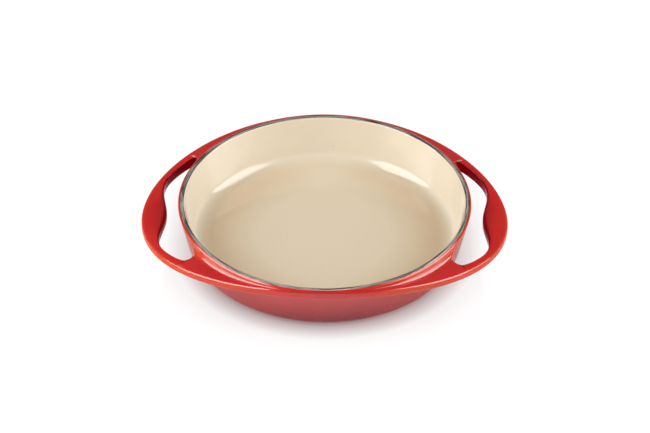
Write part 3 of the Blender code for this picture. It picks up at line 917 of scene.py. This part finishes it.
def vector_node(tree, operation, first, second=(0.0, 0.0, 0.0)):
    """Outputs of a Vector Math node."""
    return place(tree, "ShaderNodeVectorMath", {0: first, 1: second}, operation=operation).outputs


def parts_of(tree, vector):
    """X, Y and Z of a vector."""
    return place(tree, "ShaderNodeSeparateXYZ", {"Vector": vector}).outputs


def own_place(tree):
    """Where a point lies in its own object."""
    return place(tree, "ShaderNodeTexCoord").outputs["Object"]


def plan_place(tree):
    """X, Y and Z of a point in its own object, its place in plan and its distance from the middle there."""
    parts = parts_of(tree, own_place(tree))
    flat = place(tree, "ShaderNodeCombineXYZ", {"X": parts["X"], "Y": parts["Y"]}).outputs[0]
    return parts, flat, vector_node(tree, "LENGTH", flat)["Value"]


def shaded(paint, factor):
    """A colour made darker, or lighter as far as white."""
    return [min(factor * part, 1.0) for part in paint[:3]] + [1.0]


def open_group(name, inputs):
    """Empty node group with named numbers as inputs, and the sockets that give them inside."""
    tree = bpy.data.node_groups.new(name, "ShaderNodeTree")
    for label, default in inputs.items():
        socket = tree.interface.new_socket(name=label, in_out="INPUT", socket_type="NodeSocketFloat")
        socket.default_value = default
    return tree, tree.nodes.new("NodeGroupInput").outputs


def close_group(tree, values):
    """Give the group a named output for each value."""
    for label in values:
        tree.interface.new_socket(name=label, in_out="OUTPUT", socket_type="NodeSocketFloat")
    feed(tree, tree.nodes.new("NodeGroupOutput"), values)
    return tree


def use_group(tree, name, build, inputs=None):
    """Outputs of a group node, whose group is built when it is first asked for."""
    group = bpy.data.node_groups.get(name) or build(name)
    return place(tree, "ShaderNodeGroup", inputs, node_tree=group).outputs


def glaze_group(name):
    """Surface of fired glass enamel: long waves, orange peel, clouds, pinholes and thin edges."""
    tree, given = open_group(name, {"Wave": 1.0, "Roughness": 0.06, "Edge": 1.0})
    spot = own_place(tree)
    wave = product(tree, noise(tree, spot, *GLAZE.wave_noise), given["Wave"])
    peel = product(tree, noise(tree, spot, *GLAZE.peel_noise), GLAZE.peel_height)
    fine = product(tree, noise(tree, spot, *GLAZE.fine_noise), GLAZE.fine_height)
    cells = place(tree, "ShaderNodeTexVoronoi", {"Vector": spot, "Scale": GLAZE.hole_scale}).outputs
    rare = stretch(tree, noise(tree, spot, *GLAZE.rare_noise), *GLAZE.rare_range)
    pinhole = product(tree, stretch(tree, cells["Distance"], *GLAZE.hole_range), rare)
    pointed = place(tree, "ShaderNodeNewGeometry").outputs["Pointiness"]
    dull = stretch(tree, noise(tree, spot, *GLAZE.dull_noise), *GLAZE.dull_range)
    return close_group(tree, {
        "Height": total(tree, wave, peel, fine, product(tree, pinhole, -GLAZE.hole_depth)),
        "Roughness": total(tree, given["Roughness"], dull),
        "Cloud": stretch(tree, noise(tree, spot, *GLAZE.cloud_noise), *GLAZE.cloud_range),
        "Pinhole": pinhole,
        "Thin": product(tree, stretch(tree, pointed, *GLAZE.thin_range), given["Edge"]),
    })


def ground_iron_group(name):
    """Ground cast iron: scratches along the ring, open grain and pits."""
    tree, given = open_group(name, {"Roughness": 0.4})
    spot = own_place(tree)
    parts, _, radius = plan_place(tree)
    rings = {"X": parts["X"], "Y": parts["Y"], "Z": product(tree, radius, GROUND.denser)}
    rings = place(tree, "ShaderNodeCombineXYZ", rings).outputs[0]
    scratch = stretch(tree, noise(tree, rings, *GROUND.scratch_noise), *GROUND.scratch_range)
    grain = noise(tree, spot, *GROUND.grain_noise)
    pit = stretch(tree, noise(tree, spot, *GROUND.pit_noise), *GROUND.pit_range)
    rise = product(tree, grain, GROUND.grain_height)
    fall = product(tree, pit, -GROUND.pit_depth)
    return close_group(tree, {
        "Height": total(tree, scratch, rise, fall),
        "Roughness": total(tree, given["Roughness"], stretch(tree, grain, *GROUND.dull_range)),
        "Scratch": scratch,
        "Pit": pit,
    })


def dish_places_group(name):
    """Where a point lies on the dish and how it faces there."""
    sizes = bpy.context.scene.tatin_sizes
    tree, given = open_group(name, {
        "Half length": 0.5 * sizes.overall_length,
        "Half width": 0.5 * sizes.overall_width,
        "Collar height": sizes.height - sizes.loop_drop,
        "Droop": sizes.droop,
    })
    facing = place(tree, "ShaderNodeTexCoord").outputs["Normal"]
    parts, flat, radius = plan_place(tree)
    away = vector_node(tree, "NORMALIZE", flat)["Vector"]
    tangent = vector_node(tree, "CROSS_PRODUCT", away, (0.0, 0.0, 1.0))["Vector"]
    side = math_node(tree, "ABSOLUTE", parts["X"])
    reach = math_node(tree, "POWER", math_node(tree, "DIVIDE", side, given["Half length"]), 2.0)
    loop = math_node(tree, "SUBTRACT", given["Collar height"], product(tree, reach, given["Droop"]))
    across = math_node(tree, "DIVIDE", math_node(tree, "ABSOLUTE", parts["Y"]), given["Half width"])
    filled = total(tree, reach, math_node(tree, "POWER", across, 2.0))
    return close_group(tree, {
        "Radius": radius,
        "Along": math_node(tree, "DIVIDE", side, radius),
        "Height": parts["Z"],
        "Outward": vector_node(tree, "DOT_PRODUCT", away, facing)["Value"],
        "Sideways": math_node(tree, "ABSOLUTE", vector_node(tree, "DOT_PRODUCT", tangent, facing)["Value"]),
        "Upward": parts_of(tree, facing)["Z"],
        "Over loops": math_node(tree, "SUBTRACT", parts["Z"], loop),
        "From outline": math_node(tree, "SUBTRACT", 1.0, filled),
    })


def new_material(name):
    """Material with only its Principled shader, returned with its node tree."""
    material = bpy.data.materials.new(name)
    material.use_nodes = True
    return material, material.node_tree, material.node_tree.nodes["Principled BSDF"]


class Glaze:
    """Material of clouded fired enamel, whose tones are laid on one after another."""

    def __init__(self, name, main, thick, masks, skin):
        self.material, self.tree, self.shader = new_material(name)
        self.thick = thick
        self.skin = use_group(self.tree, "fired_glaze", glaze_group, skin)
        self.base = blend_colours(self.tree, self.skin["Cloud"], main, thick)
        places = use_group(self.tree, "dish_places", dish_places_group)
        self.masks = SimpleNamespace(**{
            mask: stretch(self.tree, places[label], low, high) for mask, (label, low, high) in masks.items()
        })

    def tone(self, mask, paint):
        """Lay a tone over the colour so far, where a mask is 1."""
        self.base = blend_colours(self.tree, mask, self.base, paint)

    def finish(self, thin, inputs):
        """Add thin edges, rare pinholes and bumps, and set the shader's other inputs."""
        self.tone(self.skin["Thin"], thin)
        self.tone(self.skin["Pinhole"], shaded(self.thick, GLAZE.hole_shade))
        feed(self.tree, self.shader, {
            "Base Color": self.base,
            "Roughness": self.skin["Roughness"],
            "Normal": bump(self.tree, self.skin["Height"], GLAZE.relief),
            **inputs,
        })
        return self.material


def iron_material(finishes):
    """Bare ground cast iron."""
    material, tree, shader = new_material("ground_cast_iron")
    grain = use_group(tree, "ground_iron", ground_iron_group, {"Roughness": finishes.iron_gloss})
    dull = shaded(finishes.iron, GROUND.dull_shade)
    light = shaded(finishes.iron, GROUND.light_shade)
    base = blend_colours(tree, grain["Scratch"], dull, light)
    feed(tree, shader, {
        "Base Color": blend_colours(tree, grain["Pit"], base, finishes.iron_dark),
        "Roughness": grain["Roughness"],
        "Normal": bump(tree, grain["Height"], GROUND.relief, GROUND.relief_share),
        "Metallic": 0.75,
    })
    return material


def red_material(finishes):
    """Red enamel: lighter orange on steep outward sides, partly thin enamel and partly painted light of the
    floor they reflect; painted shade in crimson in the gaps and on the grips' inner edges, darker towards
    the foot and near black at it.
    """
    if "red_glaze" in bpy.data.materials:
        return bpy.data.materials["red_glaze"]
    skin = {"Wave": GLAZE.wave_height, "Roughness": finishes.gloss, "Edge": RED_EDGE}
    glaze = Glaze("red_glaze", finishes.red, finishes.red_thick, RED_MASKS, skin)
    tree, masks = glaze.tree, glaze.masks
    upper = math_node(tree, "MAXIMUM", masks.on_loops, masks.beside)
    steep = product(tree, masks.outward, upper, masks.off_middle)
    hidden = product(tree, masks.not_outward, masks.not_up)
    inner = math_node(tree, "MAXIMUM", masks.inward, hidden)
    # Painted shade: the wall below the loops darkens towards the foot.
    glaze.tone(product(tree, masks.under_loops, masks.low, masks.off_handles), finishes.low_shade_red)
    # Painted shade: near-black band at the foot, in place of the contact shadow.
    glaze.tone(masks.foot, finishes.foot_shade_red)
    # Painted shade: the grips darken towards their inner edges.
    glaze.tone(product(tree, masks.inner_edge, masks.at_grip), finishes.grip_shade_red)
    # Partly thin enamel and partly painted light: steep outward sides lighter and more orange.
    glaze.tone(steep, finishes.steep_thin_and_lit_red)
    # Painted shade: faces turned inwards or neither out nor up go dark crimson.
    glaze.tone(math_node(tree, "MAXIMUM", masks.far_inward, hidden), finishes.inner_shade_red)
    inner = math_node(tree, "MAXIMUM", inner, masks.sideways)
    coat = (fade(tree, inner, 1.0, COAT.inner), fade(tree, steep, 1.0, COAT.steep),
            fade(tree, masks.beside, 1.0, COAT.beside))
    return glaze.finish(finishes.red_thin, {
        "Coat Weight": product(tree, *coat),
        "Coat Roughness": COAT.roughness,
        "Coat IOR": COAT.ior,
        "Specular IOR Level": 0.08,
    })


def sand_material(finishes):
    """Sand enamel: lighter on the wall, with a darker, warmer ring of painted shade where the floor begins
    to rise towards the handles.
    """
    skin = {"Wave": GLAZE.wave_height, "Roughness": finishes.gloss}
    glaze = Glaze("sand_glaze", finishes.sand, finishes.sand_warm, SAND_MASKS, skin)
    masks = glaze.masks
    glaze.tone(masks.floor, finishes.sand_low)
    # Painted shade: a darker, warmer ring where the floor begins to rise, fading towards the front and back.
    glaze.tone(product(glaze.tree, masks.rising, masks.falling, masks.off_middle), finishes.sand_ring_shade)
    return glaze.finish(finishes.sand_thin, {"IOR": 1.6, "Specular IOR Level": 0.21})


def open_air(tree, distance):
    """1 out in the open, less where something stands within a distance."""
    inputs = {"Distance": distance}
    return place(tree, "ShaderNodeAmbientOcclusion", inputs, samples=FLOOR.samples).outputs["AO"]


def show_camera(tree, rays, shader, seen, output):
    """Give the camera one shader and every other ray another."""
    sockets = {0: rays["Is Camera Ray"], 1: shader.outputs[0], 2: seen.outputs[0]}
    both = place(tree, "ShaderNodeMixShader", sockets)
    tree.links.new(both.outputs[0], tree.nodes[output].inputs["Surface"])


def build_floor(studio):
    """Pale studio floor that reads white, with a painted shadow round the dish where it is less open to the
    air, and a little of the lamps' real shadow.
    """
    mesh = bmesh.new()
    bmesh.ops.create_grid(mesh, x_segments=12, y_segments=12, size=FLOOR.size)
    data = bpy.data.meshes.new("studio_floor")
    mesh.to_mesh(data)
    mesh.free()
    floor = bpy.data.objects.new("studio_floor", data)
    bpy.context.collection.objects.link(floor)
    material, tree, shader = new_material("studio_floor")
    data.materials.append(material)
    rays = place(tree, "ShaderNodeLightPath").outputs
    beside = stretch(tree, math_node(tree, "ABSOLUTE", parts_of(tree, own_place(tree))["X"]), *FLOOR.beside)
    near = open_air(tree, studio.shade_reach)
    far = open_air(tree, FLOOR.wide_reach * studio.shade_reach)
    mirrored = fade(tree, beside, studio.floor_mirror, FLOOR.side_mirror * studio.floor_mirror)
    # Painted shadow: reflections see the floor's glow dimmer near the dish.
    mirrored = product(tree, rays["Is Glossy Ray"], mirrored, fade(tree, near, FLOOR.near_reflection_shadow, 1.0))
    feed(tree, shader, {
        # Painted shadow: the floor's own colour darkens near the dish.
        "Base Color": blend_colours(tree, near, FLOOR.near_painted_shadow, studio.floor_colour),
        "Roughness": 0.9,
        "Specular IOR Level": 0.0,
        "Emission Color": WHITE,
        "Emission Strength": total(tree, mirrored, rays["Is Transmission Ray"]),
    })
    # Painted shadow: the floor's glow darkens where the dish closes off the air.
    shade = product(tree, near, stretch(tree, far, FLOOR.wide_start, 1.0, FLOOR.wide_shade, 1.0))
    shade = math_node(tree, "MAXIMUM", shade, product(tree, beside, FLOOR.side_shade))
    glow = place(tree, "ShaderNodeEmission", {
        "Color": blend_colours(tree, shade, studio.floor_painted_shadow, WHITE),
        "Strength": fade(tree, beside, studio.floor_glow, FLOOR.side_glow),
    })
    soaked = blend_colours(tree, beside, FLOOR.soaked, FLOOR.side_soaked)
    lit = place(tree, "ShaderNodeBsdfDiffuse", {"Color": soaked})
    seen = place(tree, "ShaderNodeAddShader", {0: glow.outputs[0], 1: lit.outputs[0]})
    show_camera(tree, rays, shader, seen, "Material Output")


def build_sky(studio):
    """Dim studio round the dish, white where the camera sees it."""
    world = bpy.data.worlds.new("studio_sky")
    bpy.context.scene.world = world
    world.use_nodes = True
    tree = world.node_tree
    room = tree.nodes["Background"]
    rays = place(tree, "ShaderNodeLightPath").outputs
    up = parts_of(tree, place(tree, "ShaderNodeTexCoord").outputs["Generated"])["Z"]
    feed(tree, room, {
        "Color": blend_colours(tree, stretch(tree, up, 0.0, CEILING_START), studio.sky_low, studio.sky_high),
        "Strength": fade(tree, rays["Is Glossy Ray"], 1.0, studio.sky_mirror),
    })
    white = place(tree, "ShaderNodeBackground", {"Color": WHITE, "Strength": 1.0})
    show_camera(tree, rays, room, white, "World Output")


def build_panel(name, panel, radiance):
    """Soft panel whose back faces along its yaw and tilt, in degrees."""
    wide, tall = panel.size
    yaw, tilt, roll = (math.radians(degrees) for degrees in (panel.yaw, panel.tilt, panel.roll))
    data = bpy.data.lights.new(name, "AREA")
    data.shape = "RECTANGLE"
    data.size, data.size_y = wide, tall
    data.energy = radiance * math.pi * wide * tall
    lamp = bpy.data.objects.new(name, data)
    away = Vector((math.cos(yaw) * math.cos(tilt), math.sin(yaw) * math.cos(tilt), math.sin(tilt)))
    turned = away.to_track_quat("Z", "Y").to_matrix().to_4x4() @ Matrix.Rotation(roll, 4, "Z")
    lamp.matrix_world = Matrix.Translation(Vector(panel.centre)) @ turned
    lamp.visible_camera = False
    bpy.context.collection.objects.link(lamp)
    return lamp


def mirror_only(lamp):
    """Let the lamp show in reflections that the camera sees, without lighting anything by way of them."""
    lamp.location *= MIRROR_NEARER
    lamp.visible_diffuse = False
    lamp.data.use_nodes = True
    tree = lamp.data.node_tree
    depth = place(tree, "ShaderNodeLightPath").outputs["Diffuse Depth"]
    feed(tree, tree.nodes["Emission"], {"Strength": fade(tree, depth, 1.0, 0.0)})


def build_panels(studio):
    """Soft panels to the right and to the left of the dish, and a low fill at the camera's side."""
    for side, panel in PANELS.items():
        build_panel("panel_" + side, panel, studio.panel).visible_glossy = False
        mirror_only(build_panel("mirror_panel_" + side, panel, studio.panel_mirror))
    build_panel("fill_panel", FILL, studio.fill).visible_glossy = False


def build_camera(studio, size):
    """Camera at the photograph's angle."""
    back = Vector((0.0, -math.cos(studio.elevation), math.sin(studio.elevation)))
    there = Matrix.Translation(back * studio.distance + Vector((0.0, 0.0, size.height)))
    aim = Matrix.Rotation(QUARTER - studio.elevation, 4, "X") @ Matrix.Rotation(studio.yaw, 4, "Y")
    aim = aim @ Matrix.Rotation(studio.pitch, 4, "X") @ Matrix.Rotation(studio.roll, 4, "Z")
    data = bpy.data.cameras.new("camera")
    data.lens = studio.lens
    data.sensor_width = SENSOR_WIDTH
    data.clip_end = CAMERA_REACH
    camera = bpy.data.objects.new("camera", data)
    bpy.context.collection.objects.link(camera)
    camera.matrix_world = Matrix.Rotation(studio.turn, 4, "Z") @ there @ aim
    bpy.context.scene.camera = camera


class TATIN_OT_iron(bpy.types.Operator):
    """Add the cast-iron body with its bare rim and foot ring"""

    bl_idname = "tatin.add_iron"
    bl_label = "Add cast iron"

    def execute(self, context):
        build_iron(read_sizes(), iron_material(context.scene.tatin_finishes))
        return {"FINISHED"}


class TATIN_OT_outside(bpy.types.Operator):
    """Add the red enamel on the outside"""

    bl_idname = "tatin.add_outside_enamel"
    bl_label = "Add outside enamel"

    def execute(self, context):
        build_outside_coat(read_sizes(), red_material(context.scene.tatin_finishes))
        return {"FINISHED"}


class TATIN_OT_inside(bpy.types.Operator):
    """Add the sand enamel on the inside"""

    bl_idname = "tatin.add_inside_enamel"
    bl_label = "Add inside enamel"

    def execute(self, context):
        build_inside_coat(read_sizes(), sand_material(context.scene.tatin_finishes))
        return {"FINISHED"}


class TATIN_OT_underside(bpy.types.Operator):
    """Add the red enamel under the base"""

    bl_idname = "tatin.add_underside_enamel"
    bl_label = "Add underside enamel"

    def execute(self, context):
        build_underside_coat(read_sizes(), red_material(context.scene.tatin_finishes))
        return {"FINISHED"}


class TATIN_OT_studio(bpy.types.Operator):
    """Add the floor, the lamps, the sky and the camera"""

    bl_idname = "tatin.add_studio"
    bl_label = "Add studio"

    def execute(self, context):
        studio = context.scene.tatin_studio
        build_floor(studio)
        build_sky(studio)
        build_panels(studio)
        build_camera(studio, read_sizes())
        context.scene.view_settings.view_transform = "Standard"
        return {"FINISHED"}


class TATIN_PT_panel(bpy.types.Panel):
    """Lists the dish's pieces and its studio"""

    bl_idname = "TATIN_PT_panel"
    bl_label = "Tarte tatin dish"
    bl_space_type = "VIEW_3D"
    bl_region_type = "UI"
    bl_category = "Tatin dish"

    def draw(self, context):
        for operator in OPERATORS:
            self.layout.operator(operator.bl_idname)


OPERATORS = (TATIN_OT_iron, TATIN_OT_outside, TATIN_OT_inside, TATIN_OT_underside, TATIN_OT_studio)
CLASSES = (DishSizes, Finishes, Studio, *OPERATORS, TATIN_PT_panel)


def register():
    for item in CLASSES:
        bpy.utils.register_class(item)
    bpy.types.Scene.tatin_sizes = PointerProperty(type=DishSizes)
    bpy.types.Scene.tatin_finishes = PointerProperty(type=Finishes)
    bpy.types.Scene.tatin_studio = PointerProperty(type=Studio)


def unregister():
    del bpy.types.Scene.tatin_studio
    del bpy.types.Scene.tatin_finishes
    del bpy.types.Scene.tatin_sizes
    for item in reversed(CLASSES):
        bpy.utils.unregister_class(item)


def main():
    register()
    bpy.ops.tatin.add_iron()
    bpy.ops.tatin.add_outside_enamel()
    bpy.ops.tatin.add_inside_enamel()
    bpy.ops.tatin.add_underside_enamel()
    bpy.ops.tatin.add_studio()
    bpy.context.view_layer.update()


if __name__ == "__main__":
    main()
